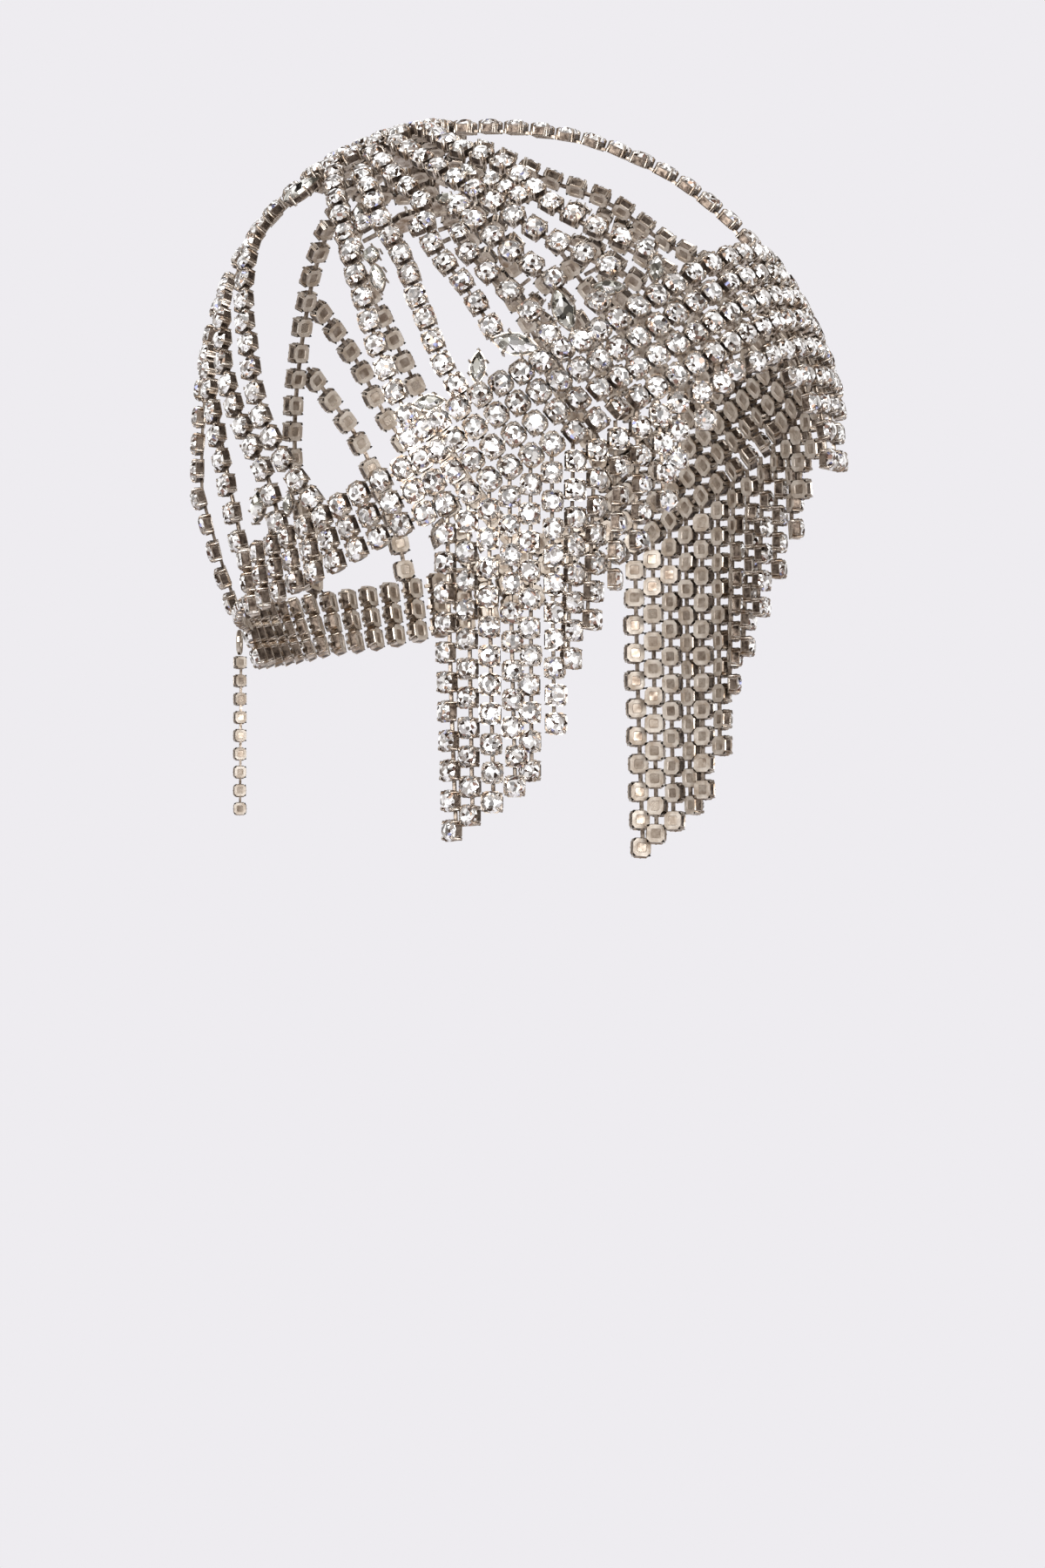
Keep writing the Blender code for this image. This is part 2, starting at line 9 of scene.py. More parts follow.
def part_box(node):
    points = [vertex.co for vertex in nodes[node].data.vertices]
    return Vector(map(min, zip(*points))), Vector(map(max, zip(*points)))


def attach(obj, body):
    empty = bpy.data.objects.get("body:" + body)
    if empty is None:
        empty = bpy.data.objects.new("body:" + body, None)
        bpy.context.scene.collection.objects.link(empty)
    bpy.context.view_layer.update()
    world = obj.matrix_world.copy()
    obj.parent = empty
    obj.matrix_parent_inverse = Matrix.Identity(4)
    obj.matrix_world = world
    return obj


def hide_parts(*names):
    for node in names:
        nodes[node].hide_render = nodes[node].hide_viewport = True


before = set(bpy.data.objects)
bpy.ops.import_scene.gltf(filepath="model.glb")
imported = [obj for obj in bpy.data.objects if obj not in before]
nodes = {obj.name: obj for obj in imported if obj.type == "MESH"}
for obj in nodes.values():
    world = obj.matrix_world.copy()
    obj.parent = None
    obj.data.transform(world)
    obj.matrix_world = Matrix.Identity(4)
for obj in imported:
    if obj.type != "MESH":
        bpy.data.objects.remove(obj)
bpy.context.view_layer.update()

# Rhinestone headpiece, worn height, metres. The wearer looks along -Y, +Z is up.
dice = random.Random(7)


# Small helpers for working as by hand

def deselectAll():
    bpy.ops.object.select_all(action="DESELECT")


def startEdit(selectBy="FACE"):
    bpy.ops.object.mode_set(mode="EDIT")
    bpy.ops.mesh.select_mode(type=selectBy)


def endEdit():
    bpy.ops.object.mode_set(mode="OBJECT")


def pickFaces(test):
    mesh = bmesh.from_edit_mesh(bpy.context.active_object.data)
    bpy.ops.mesh.select_all(action="DESELECT")
    for face in mesh.faces:
        if test(face.calc_center_median(), face.normal):
            face.select_set(True)
    bmesh.update_edit_mesh(bpy.context.active_object.data)


levelFrom = 0.98   # a face is level, or a wall square, from this share of its normal


def facesUp(centre, normal):
    return normal.z > levelFrom


def facesDown(centre, normal):
    return normal.z < -levelFrom


def slopes(centre, normal):
    return abs(normal.z) < levelFrom


def isSquareWall(centre, normal):
    return max(abs(normal.x), abs(normal.y)) > levelFrom


def pickVerts(test):
    mesh = bmesh.from_edit_mesh(bpy.context.active_object.data)
    bpy.ops.mesh.select_all(action="DESELECT")
    for vert in mesh.verts:
        if test(vert.co):
            vert.select_set(True)
    mesh.select_flush(True)
    bmesh.update_edit_mesh(bpy.context.active_object.data)


def pickEdges(test):
    mesh = bmesh.from_edit_mesh(bpy.context.active_object.data)
    bpy.ops.mesh.select_all(action="DESELECT")
    for edge in mesh.edges:
        if test(*[vert.co for vert in edge.verts]):
            edge.select_set(True)
    bmesh.update_edit_mesh(bpy.context.active_object.data)


def giveSlot(index):
    bpy.context.active_object.active_material_index = index
    bpy.ops.object.material_slot_assign()


def named(name, materials=()):
    piece = bpy.context.active_object
    piece.name = name
    piece.data.name = name
    for material in materials:
        piece.data.materials.append(material)
    return piece


def settle(piece):
    # place, turn and size go into the mesh, so the object sits at the origin
    deselectAll()
    piece.select_set(True)
    bpy.context.view_layer.objects.active = piece
    bpy.ops.object.transform_apply(location=True, rotation=True, scale=True)
    return piece


def copyOf(master, matrix):
    copy = master.copy()
    copy.data = master.data.copy()
    copy.data.transform(matrix)
    bpy.context.collection.objects.link(copy)
    return copy


def joined(name, parts):
    deselectAll()
    for part in parts:
        part.select_set(True)
    bpy.context.view_layer.objects.active = parts[0]
    if len(parts) > 1:
        bpy.ops.object.join()
    piece = bpy.context.active_object
    piece.name = name
    piece.data.name = name
    return piece


def standIn(piece, slotName, *names):
    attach(piece, "root")
    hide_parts(*names)


# Colours and nodes

def linear(hexColour):
    # sRGB hex to the linear values that the sockets take
    values = [int(hexColour[index:index + 2], 16) / 255 for index in (1, 3, 5)]
    return tuple(v / 12.92 if v <= 0.04045 else ((v + 0.055) / 1.055) ** 2.4 for v in values) + (1.0,)


def addNode(tree, kind, settings=None, inputs=None):
    node = tree.nodes.new(kind)
    for key, value in (settings or {}).items():
        setattr(node, key, value)
    for key, value in (inputs or {}).items():
        if isinstance(value, bpy.types.NodeSocket):
            tree.links.new(value, node.inputs[key])
        else:
            node.inputs[key].default_value = value
    return node


def newMaterial(name):
    material = bpy.data.materials.new(name)
    material.use_nodes = True
    return material, material.node_tree, material.node_tree.nodes["Principled BSDF"]


def rampOf(tree, factor, stops, interpolation="LINEAR"):
    ramp = addNode(tree, "ShaderNodeValToRGB", inputs={"Fac": factor})
    band = ramp.color_ramp
    band.interpolation = interpolation
    while len(band.elements) < len(stops):
        band.elements.new(0.5)
    for element, (place, colour) in zip(band.elements, stops):
        element.position = place
        element.color = linear(colour)
    return ramp


crystalLook = {"roughness": 0.06, "metallic": 0.80, "glassIor": 1.56}
platingLook = {"detail": 3.0, "grain": 0.6, "worn": 0.36, "bright": 0.62, "from": 0.3, "to": 0.7,
               "rougher": 0.10, "smoother": 0.05}


def foiledCrystal(name, cell, tilt, stops):
    # machine-cut lead glass with a silver foil back: each facet shows another part of the room, so
    # the cells stand for the back facets seen through the crown, and their colours are painted
    # reflections of that room: white cells are painted highlights, dark cells painted dark
    # reflections
    material, tree, shader = newMaterial(name)
    place = addNode(tree, "ShaderNodeTexCoord")
    cells = addNode(tree, "ShaderNodeTexVoronoi", {"feature": "F1"},
                    {"Vector": place.outputs["Object"], "Scale": 1 / cell, "Randomness": 1.0})
    parts = addNode(tree, "ShaderNodeSeparateColor", inputs={"Color": cells.outputs["Color"]})
    ramp = rampOf(tree, parts.outputs["Red"], stops, "CONSTANT")
    lean = addNode(tree, "ShaderNodeVectorMath", {"operation": "SUBTRACT"},
                   {0: cells.outputs["Color"], 1: (0.5, 0.5, 0.5)})
    lean = addNode(tree, "ShaderNodeVectorMath", {"operation": "SCALE"},
                   {0: lean.outputs["Vector"], "Scale": tilt})
    facet = addNode(tree, "ShaderNodeNewGeometry")
    leaned = addNode(tree, "ShaderNodeVectorMath", {"operation": "ADD"},
                     {0: facet.outputs["Normal"], 1: lean.outputs["Vector"]})
    leaned = addNode(tree, "ShaderNodeVectorMath", {"operation": "NORMALIZE"},
                     {0: leaned.outputs["Vector"]})
    tree.links.new(ramp.outputs["Color"], shader.inputs["Base Color"])
    tree.links.new(leaned.outputs["Vector"], shader.inputs["Normal"])
    shader.inputs["Metallic"].default_value = crystalLook["metallic"]
    shader.inputs["Roughness"].default_value = crystalLook["roughness"]
    shader.inputs["IOR"].default_value = crystalLook["glassIor"]
    return material


def platedBrass(name, bright, worn, spread, roughness, metallic=1.0):
    # stamped brass with a thin rhodium plating: bright grey, warmer where the plating is thin
    material, tree, shader = newMaterial(name)
    place = addNode(tree, "ShaderNodeTexCoord")
    look = platingLook
    noise = addNode(tree, "ShaderNodeTexNoise", inputs={
        "Vector": place.outputs["Object"], "Scale": 1 / spread, "Detail": look["detail"],
        "Roughness": look["grain"]})
    ramp = rampOf(tree, noise.outputs["Fac"], [(look["worn"], worn), (look["bright"], bright)])
    rough = addNode(tree, "ShaderNodeMapRange", inputs={
        "Value": noise.outputs["Fac"], "From Min": look["from"], "From Max": look["to"],
        "To Min": roughness + look["rougher"], "To Max": roughness - look["smoother"]})
    tree.links.new(ramp.outputs["Color"], shader.inputs["Base Color"])
    tree.links.new(rough.outputs["Result"], shader.inputs["Roughness"])
    shader.inputs["Metallic"].default_value = metallic
    return material


# for each stone: the width of one back facet in metres, how far the facets lean, and their shades,
# which are painted reflections and highlights; the round stone's last blue and orange stops are
# painted flashes of fire
roundStone = foiledCrystal("foiledCrystalRound", 0.00105, 0.62, [
    (0.00, "#46392F"), (0.11, "#8E7368"), (0.18, "#A59C95"), (0.27, "#D6D2CF"), (0.40, "#FFFFFF"),
    (0.955, "#BFC4F2"), (0.975, "#F0CDB4"), (0.985, "#FFFFFF")])
# the flat table takes whiter shades than the crown: a painted highlight on the top face
tableStone = foiledCrystal("foiledCrystalTable", 0.00115, 0.55, [
    (0.00, "#6A5B52"), (0.08, "#A9A29D"), (0.20, "#E2DFDD"), (0.36, "#FFFFFF")])
longStone = foiledCrystal("foiledCrystalNavette", 0.0021, 0.50, [
    (0.00, "#3F3D38"), (0.11, "#86837A"), (0.28, "#BDBCB5"), (0.52, "#E8E8E4"), (0.76, "#FFFFFF")])
# for each metal: bright and worn colour, how wide the worn places are in metres, and roughness
cupMetal = platedBrass("rhodiumPlatedBrass", "#CFC6BC", "#8C7967", 0.0030, 0.24)
# dark brass for the recessed windows: painted shade in the recesses, in a brass tone
windowPaintedShade = platedBrass("paintedShadeBrassInCupWindow", "#75695F", "#3B312B", 0.0016, 0.40)
# the backs are dull from wear, so part of their light is scattered and not mirrored
cupBack = platedBrass("wornPlatedBack", "#CFC6BB", "#A39484", 0.0040, 0.50, 0.45)
# the pocket is a darker tone than the back around it, standing for shade in the recess
cupPocket = platedBrass("platedBackPocket", "#B9ADA0", "#7D6D5F", 0.0035, 0.30, 0.85)
# the links lie under and between the cups; their dark worn tone is partly painted shade between the
# cups and partly wear
linkMetal = platedBrass("rhodiumPlatedLink", "#B4A79A", "#4F4136", 0.0016, 0.30)
cupSlots = [cupMetal, windowPaintedShade, roundStone, tableStone, cupBack, cupPocket, linkMetal]
windowSlot, stoneSlot, tableSlot, backSlot, pocketSlot, linkSlot = range(1, len(cupSlots))
ringMetal = platedBrass("rhodiumPlatedRing", "#CFC8BE", "#A8998A", 0.0040, 0.22)
print("materials ready")


# The domed form that every strand lies on. A turn counts from the front midline and a rise from
# the level through its middle, both in degrees.

domeForm = {"side": 0.075, "front": 0.115, "back": 0.075, "top": 0.108, "power": 2.1,
            "backSwell": 0.8, "napeClosing": 0.200, "reach": 0.300}
# steps and slacks of the walks over the form
walkSet = {"slopeStep": 0.00002, "halvings": 28, "routeSteps": 12, "lookAhead": 0.002,
           "edgeStep": 0.0002, "behindTurn": -20}


def formValue(point):
    depth = domeForm["front"]
    if point.y > 0:
        depth = domeForm["back"] * (1 + min(point.z, 0) / domeForm["napeClosing"])
    fullness = domeForm["power"] + domeForm["backSwell"] * max(point.y, 0) / domeForm["back"]
    return ((abs(point.x) / domeForm["side"]) ** domeForm["power"]
            + (abs(point.y) / depth) ** domeForm["power"]
            + (max(point.z, 0) / domeForm["top"]) ** fullness)


def outwardAt(point):
    slope = []
    for axis in range(3):
        offset = Vector((0, 0, 0))
        offset[axis] = walkSet["slopeStep"]
        slope.append(formValue(point + offset) - formValue(point - offset))
    return Vector(slope).normalized()


def ontoForm(start, way):
    # walks from start along way to the form's surface by halving
    low, high = 0.0, domeForm["reach"]
    for _ in range(walkSet["halvings"]):
        middle = (low + high) / 2
        if formValue(start + way * middle) < 1:
            low = middle
        else:
            high = middle
    return start + way * low


def fromMiddle(point):
    return ontoForm(Vector((0, 0, 0)), point.normalized())


def towards(turn, rise, side):
    turn, rise = math.radians(turn), math.radians(rise)
    return Vector((-side * math.cos(rise) * math.sin(turn), -math.cos(rise) * math.cos(turn),
                   math.sin(rise)))


def overCrown(x, y):
    return ontoForm(Vector((x, y, 0)), Vector((0, 0, 1)))


def smoothRoute(points, side=1):
    knots = [fromMiddle(towards(turn, rise, side)) for turn, rise in points]
    knots = [knots[0] * 2 - knots[1]] + knots + [knots[-1] * 2 - knots[-2]]
    line = []
    for index in range(1, len(knots) - 2):
        before, start, end, after = knots[index - 1:index + 3]
        for step in range(walkSet["routeSteps"]):
            share = step / walkSet["routeSteps"]
            line.append(fromMiddle((start * 2 + (end - before) * share
                                    + (before * 2 - start * 5 + end * 4 - after) * share ** 2
                                    + (start * 3 - before - end * 3 + after) * share ** 3) / 2))
    line.append(fromMiddle(knots[-2]))
    marks = [0.0]
    for start, end in zip(line, line[1:]):
        marks.append(marks[-1] + (end - start).length)
    return {"line": line, "marks": marks}


def pointOn(route, distance):
    line, marks = route["line"], route["marks"]
    index = 0
    while index < len(marks) - 2 and marks[index + 1] < distance:
        index += 1
    share = (distance - marks[index]) / (marks[index + 1] - marks[index])
    return line[index].lerp(line[index + 1], share)


def frameOn(route, distance):
    ahead = walkSet["lookAhead"]
    along = pointOn(route, distance + ahead) - pointOn(route, distance - ahead)
    centre = pointOn(route, distance)
    out = outwardAt(centre)
    along = (along - out * along.dot(out)).normalized()
    return centre, along, out


def distanceOn(route, point):
    # the distance along the route of the place nearest to a point
    best, found = math.inf, 0.0
    for start, end, mark in zip(route["line"], route["line"][1:], route["marks"]):
        span = end - start
        share = min(1.0, max(0.0, (point - start).dot(span) / span.length_squared))
        gap = (start + span * share - point).length
        if gap < best:
            best, found = gap, mark + span.length * share
    return found


def matrixOf(centre, along, out, scale=1.0, stretch=(1.0, 1.0, 1.0)):
    across = out.cross(along)
    columns = [along * scale * stretch[0], across * scale * stretch[1], out * scale * stretch[2]]
    matrix = Matrix.Identity(4)
    for column, axis in enumerate(columns):
        for row in range(3):
            matrix[row][column] = axis[row]
    matrix.translation = centre
    return matrix


# One cup with its round stone, modelled once. X runs along the chain, Z faces out.

cupSet = {"width": 0.0063, "height": 0.0026, "corner": 0.0013, "foot": 0.86, "window": 0.00035,
          "recess": 0.0003, "pocket": 0.0012, "pocketEdge": 0.0002, "pocketDepth": 0.0003,
          "prong": 0.00052, "prongSides": 3, "prongOut": 0.0034, "prongTop": 0.0033,
          "clawIn": 0.0007, "clawUp": 0.0005, "clawTaper": (0.7, 0.9, 1.0),
          "stone": 0.0033, "stoneSides": 8, "girdle": 0.0026, "crown": 0.0015, "table": 0.58,
          "closeLength": 0.0070, "closeWidth": 0.0063, "closeCorner": 0.0014, "closeStone": 0.0034}


def makeProng():
    deselectAll()
    top = cupSet["prongTop"]
    bpy.ops.mesh.primitive_cylinder_add(vertices=cupSet["prongSides"], radius=cupSet["prong"],
                                        depth=top, location=(cupSet["prongOut"], 0, top / 2))
    prong = named("prongMaster", cupSlots)
    startEdit()
    pickFaces(facesUp)
    bpy.ops.mesh.extrude_region_move(
        TRANSFORM_OT_translate={"value": (-cupSet["clawIn"], 0, cupSet["clawUp"])})
    bpy.ops.transform.resize(value=cupSet["clawTaper"])
    pickFaces(facesDown)
    bpy.ops.mesh.delete(type="FACE")
    endEdit()
    bpy.ops.object.shade_smooth()
    return settle(prong)


def makeStone(radius, sides, girdle, crown, table, crownPart, tablePart, slots=cupSlots):
    deselectAll()
    bpy.ops.mesh.primitive_circle_add(vertices=sides, radius=radius, fill_type="NGON",
                                      location=(0, 0, 0))
    stone = named("stoneMaster", slots)
    startEdit()
    bpy.ops.mesh.select_all(action="SELECT")
    bpy.ops.transform.translate(value=(0, 0, girdle))
    bpy.ops.mesh.extrude_region_move(TRANSFORM_OT_translate={"value": (0, 0, crown)})
    bpy.ops.transform.resize(value=(table, table, 1.0))
    bpy.ops.transform.rotate(value=math.pi / sides, orient_axis="Z",
                             center_override=(0, 0, girdle + crown))
    pickFaces(slopes)
    bpy.ops.mesh.quads_convert_to_tris()
    pickFaces(lambda centre, normal: centre.z < girdle + crown / 10)   # the hidden face below
    bpy.ops.mesh.delete(type="FACE")
    bpy.ops.mesh.select_all(action="SELECT")
    bpy.ops.mesh.normals_make_consistent(inside=False)
    giveSlot(crownPart)
    # the flat top takes tablePart; for the cup stones that is the whiter set of shades, a painted
    # highlight
    pickFaces(facesUp)
    giveSlot(tablePart)
    endEdit()
    return settle(stone)


def makeCup(length, width, corner, radius):
    deselectAll()
    height = cupSet["height"]
    bpy.ops.mesh.primitive_cube_add(size=height, location=(0, 0, height / 2))
    body = named("cupMaster", cupSlots)
    settle(body)
    startEdit("EDGE")
    bpy.ops.mesh.select_all(action="SELECT")
    bpy.ops.transform.resize(value=(length / height, width / height, 1),
                             center_override=(0, 0, 0))
    pickEdges(lambda one, other: abs(one.z - other.z) > height / 2)
    bpy.ops.mesh.bevel(offset=corner, segments=1)
    bpy.ops.mesh.select_mode(type="FACE")
    # the recessed windows take the dark brass, painted shade in the recesses
    pickFaces(isSquareWall)
    bpy.ops.mesh.inset(thickness=cupSet["window"], depth=-cupSet["recess"], use_individual=True)
    giveSlot(windowSlot)
    # the stamped pocket in the middle of the back
    pickFaces(facesDown)
    giveSlot(backSlot)
    bpy.ops.transform.resize(value=(cupSet["foot"], cupSet["foot"], 1))
    bpy.ops.mesh.inset(thickness=cupSet["pocket"])
    bpy.ops.mesh.inset(thickness=cupSet["pocketEdge"], depth=-cupSet["pocketDepth"])
    giveSlot(pocketSlot)
    endEdit()
    settle(body)
    parts = [body]
    prong = makeProng()
    for quarter in range(4):
        parts.append(copyOf(prong, Matrix.Rotation(math.radians(45 + 90 * quarter), 4, "Z")))
    bpy.data.objects.remove(prong)
    parts.append(makeStone(radius, cupSet["stoneSides"], cupSet["girdle"], cupSet["crown"],
                           cupSet["table"], stoneSlot, tableSlot))
    return joined("cupMaster", parts)


linkSet = {"length": 0.0026, "width": 0.0011, "height": 0.0009, "edge": 0.00018,
           "raise": 0.0003, "overlap": 0.0008}


def makeLink():
    deselectAll()
    bpy.ops.mesh.primitive_cube_add(size=linkSet["length"], location=(0, 0, 0))
    link = named("linkMaster", cupSlots)
    startEdit("EDGE")
    bpy.ops.mesh.select_all(action="SELECT")
    bpy.ops.transform.resize(value=(1, linkSet["width"] / linkSet["length"],
                                    linkSet["height"] / linkSet["length"]))
    bpy.ops.transform.translate(value=(0, 0, linkSet["height"] / 2))
    pickEdges(lambda one, other: (abs(one.x - other.x) > linkSet["length"] / 2
                                  and one.z > linkSet["height"] / 2))
    bpy.ops.mesh.bevel(offset=linkSet["edge"], segments=1)
    # the whole link takes the darker link brass, partly painted shade between the cups
    bpy.ops.mesh.select_all(action="SELECT")
    giveSlot(linkSlot)
    endEdit()
    return settle(link)


cup = makeCup(cupSet["width"], cupSet["width"], cupSet["corner"], cupSet["stone"])
closeCup = makeCup(cupSet["closeLength"], cupSet["closeWidth"], cupSet["closeCorner"],
                   cupSet["closeStone"])
link = makeLink()
print("cup master:", len(cup.data.polygons), "faces, link master:", len(link.data.polygons), "faces")


# Strands of cup chain between crown and band

chainSet = {"pitch": 0.0080, "lift": 0.0004, "halfCup": 0.0028, "finePitch": 0.0054,
            "fineScale": 0.62, "wander": 0.00018, "tilt": 4.0, "endBar": 0.0080,
            "besideScale": 0.86, "besideLoose": 2.0}

# each route as turn and rise
strandRoutes = {
    "front_centre_chain": [(180, 80), (0, 84), (0, 72), (0, 58), (0, 46), (0, 34)],
    "fan_d": [(112, 74), (86.7, 68.6), (67.9, 60.2), (58.1, 53.7), (49.2, 45.8), (40.8, 39.3),
              (33.1, 32.6), (28, 25)],
    "fan_e": [(103, 80), (69.6, 70.3), (51.5, 61.5), (44.4, 51.3), (35.8, 43.2), (27.2, 36.9),
              (20, 31)],
    "fan_c": [(119, 71), (93.5, 63.7), (80.5, 57.4), (76.2, 49.8), (72.3, 44.4), (66.8, 38.4),
              (63, 32.7), (60, 27)],
    "fan_b": [(122, 69), (101.8, 61.1), (90.5, 52.4), (82.7, 45.1), (76.9, 35), (71.7, 24.1),
              (67, 16.2), (62, 8)],
    "fan_a": [(136, 68), (110.5, 58.1), (101.2, 50.2), (93.4, 40.1), (88, 30), (82.5, 19.2),
              (77.7, 10.1), (74, 2)],
    "fan_c_second": [(78, 55), (69.7, 48.2), (61.3, 39.6), (53.1, 30.7), (48.5, 23.3), (44, 16)],
    "fan_c_third": [(72, 58), (64.5, 51.3), (55.4, 42.6), (48.4, 36.7), (46, 33)],
    "back_4": [(162, 70), (160, 58), (157, 48), (155, 38), (154, 14), (151, 2), (150, -8), (152, -19),
               (155, -30.5)],
    "back_1": [(146, 70), (149, 57), (143, 50), (135.2, 43.8), (123.4, 29), (116.4, 15),
               (108.5, 4.2), (98, -8)],
    "back_2": [(154, 44), (138.1, 32.8), (130.6, 23), (122.1, 12.2), (114.5, 2.1), (110, -12)],
    "back_3": [(154, 33), (138.7, 19.8), (133.2, 11), (128.1, 0.2), (125.5, -14)],
}


def cupAt(centre, along, out, scale=1.0, twist=0.0, loose=1.0, master=cup):
    # a cup on its place, a little out of true as soft chain lies
    wobble = chainSet["tilt"] * loose
    turn = (Matrix.Rotation(math.radians(dice.uniform(-wobble, wobble)), 4, along)
            @ Matrix.Rotation(math.radians(dice.uniform(-wobble, wobble)), 4, out.cross(along))
            @ Matrix.Rotation(math.radians(twist), 4, along))
    seat = centre + out * chainSet["lift"]
    return copyOf(master, matrixOf(seat, turn @ along, turn @ out, scale))


def linkBetween(first, second, out, scale=1.0):
    # the bar under two cups, as long as the space they leave
    along = second - first
    room = along.length - cupSet["width"] * scale
    along.normalize()
    out = (out - along * out.dot(along)).normalized()
    seat = (first + second) / 2 + out * (chainSet["lift"] + linkSet["raise"])
    stretch = ((room + linkSet["overlap"]) / linkSet["length"] / scale, 1, 1)
    return copyOf(link, matrixOf(seat, along, out, scale, stretch))


# extra cups soldered beside a strand near the crown, as turn and rise
besideCups = {
    "fan_b": [(96.5, 52.7), (97.8, 48.2)],
    "fan_c": [(68.9, 54.1), (65.1, 51.5), (67.9, 48.8), (79.4, 51.4)],
    "fan_d": [(57.6, 59.1), (54.2, 56.3), (51.0, 54.1)],
}


def strandEnds(node, route, halfCup):
    places = [distanceOn(route, vert.co) for vert in nodes[node].data.vertices]
    return min(places) + halfCup, max(places) - halfCup


def chainOn(node, route, pitch, scale=1.0, beside=()):
    first, last = strandEnds(node, route, chainSet["halfCup"] * scale)
    spans = max(1, round((last - first) / pitch))
    parts = []
    before = None
    for seat in beside:
        centre, along, out = frameOn(route, distanceOn(route, seat))
        parts.append(cupAt(seat, along, outwardAt(seat), chainSet["besideScale"],
                           loose=chainSet["besideLoose"]))
        parts.append(linkBetween(centre, seat, outwardAt(seat)))
    for index in range(spans + 1):
        centre, along, out = frameOn(route, first + (last - first) * index / spans)
        centre = centre + out.cross(along) * dice.uniform(-1, 1) * chainSet["wander"]
        parts.append(cupAt(centre, along, out, scale))
        if before is not None:
            parts.append(linkBetween(before, centre, out, scale))
        if index in (0, spans):   # the bar that joins the end cup to its carrier
            onwards = along if index else -along
            reach = centre + onwards * chainSet["endBar"] * scale
            parts.append(linkBetween(centre, reach, out, scale))
        before = centre
    piece = joined("chain_" + node, parts)
    standIn(piece, "set_stones", node)


for name, points in strandRoutes.items():
    if name in nodes:
        chainOn(name, smoothRoute(points), chainSet["pitch"])
        continue
    for side, word in ((1, "right"), (-1, "left")):
        beside = [fromMiddle(towards(turn, rise, side)) for turn, rise in besideCups.get(name, ())]
        chainOn(name + "_" + word, smoothRoute(points, side), chainSet["pitch"], beside=beside)
print("strands ready")


# Band of close columns with its fringe

# a strand turned by more than turnsColumn takes the lower rows of its column with it, and one
# strand's turn is full after turnWithin cups
bandSet = {"spacing": 0.0068, "rearSpacing": 0.0074, "fringePitch": 0.0082,
           "fringeFrontTurn": 72.5, "endTurn": {1: 123.0, -1: 197.0}, "solderReach": 0.0095,
           "loose": 0.6, "hangingLoose": 1.2, "stray": 8, "turnWithin": 3, "swayPower": 1.5,
           "turnsColumn": 30, "turnedRows": 2}
# the band's lower edge as turn and rise; then, each by turn: rows of cups, their pitch in metres,
# the columns' lean and their turn on themselves in degrees, and the fringe tips' height in metres
bandLine = [(-6, 24), (0, 24.3), (6, 24), (15, 22), (27, 17), (35, 13), (43, 9), (56, 2), (67, -4.5),
            (80, -10.5), (94, -17), (108, -22), (120, -25), (134, -28.5), (150, -32), (166, -35.5),
            (182, -37.5), (198, -38), (210, -37.5)]
bandRows = [(28.5, 4), (31, 5), (74, 4), (210, 3)]
rowPitch = [(0, 0.0076), (60, 0.0076), (100, 0.0066), (210, 0.0066)]
columnLean = [(0, 0), (10, 3), (30, 11), (60, 11), (100, -8), (210, -8)]
columnTwist = [(0, 2), (30, 4), (45, 12), (68, 12), (82, -16), (100, -28), (210, -28)]
fringeTips = [(2, 0.0073), (5.7, 0.0227), (9.3, 0.0293), (12.9, 0.0353), (16.3, 0.0328),
              (19.7, 0.0298), (23, 0.0262), (26.3, 0.0152), (29.6, 0.0038), (32.8, -0.0077),
              (36.1, -0.0191), (39.6, -0.0304), (43, -0.0416), (46.6, -0.0529), (50.3, -0.0714),
              (54, -0.0844), (57.9, -0.0890), (61.8, -0.0935), (65.9, -0.0973), (70.3, -0.1015),
              (76, -0.1035)]
# how far a hanging strand is turned on itself, and how far its tip sways forwards, both in
# degrees and counted from the temple forwards
fringeTwist = [40, 18, 4, -8, 6, -12, -36, -55, -75, -50, -20, 26, 6, -16, 22, 0, -12, 14]
fringeSway = [1.9, 0.9, 0.9, 1.1, 0.2, 0.4, -1.0, -1.3, -1.3, -0.6, 0.5, -0.4, 0.6, 0.3, -0.3,
              0.4, 0.2, 0.3]


def between(table, value):
    for (low, lowValue), (high, highValue) in zip(table, table[1:]):
        if value <= high:
            return lowValue + (highValue - lowValue) * (value - low) / (high - low)
    return table[-1][1]


def turnOf(point, side):
    turn = math.degrees(math.atan2(-point.x * side, -point.y))
    return turn if turn > walkSet["behindTurn"] else turn + 360


def bandColumns(side):
    edge = smoothRoute(bandLine, side)
    start = 0.0
    while turnOf(pointOn(edge, start), side) < 0:
        start += walkSet["edgeStep"]
    columns = []
    distance = start + bandSet["spacing"] / 2
    while turnOf(pointOn(edge, distance), side) < bandSet["endTurn"][side]:
        foot, along, out = frameOn(edge, distance)
        turn = turnOf(foot, side)
        across = out.cross(along)
        upward = across if across.z > 0 else -across
        lean = math.radians(between(columnLean, turn))
        way = upward * math.cos(lean) + along * math.sin(lean)
        centres = [foot]
        rows = next(count for limit, count in bandRows if turn <= limit)
        for _ in range(rows - 1):
            here = centres[-1]
            normal = outwardAt(here)
            way = (way - normal * way.dot(normal)).normalized()
            centres.append(fromMiddle(here + way * between(rowPitch, turn)))
        columns.append({"turn": turn, "centres": centres})
        inFront = turn < bandSet["fringeFrontTurn"]
        distance += bandSet["spacing"] if inFront else bandSet["rearSpacing"]
    return columns


def hangingPlaces(column, side, sway):
    foot = column["centres"][0]
    if column["turn"] > bandSet["fringeFrontTurn"]:
        return []
    drop = foot.z - between(fringeTips, column["turn"])
    count = max(0, round(drop / bandSet["fringePitch"]))
    places = []
    for index in range(count):
        share = (index + 1) / count
        level = towards(turnOf(foot, side) - sway * share ** bandSet["swayPower"], 0, side)
        places.append(ontoForm(Vector((0, 0, foot.z - drop * share)), level))
    return places


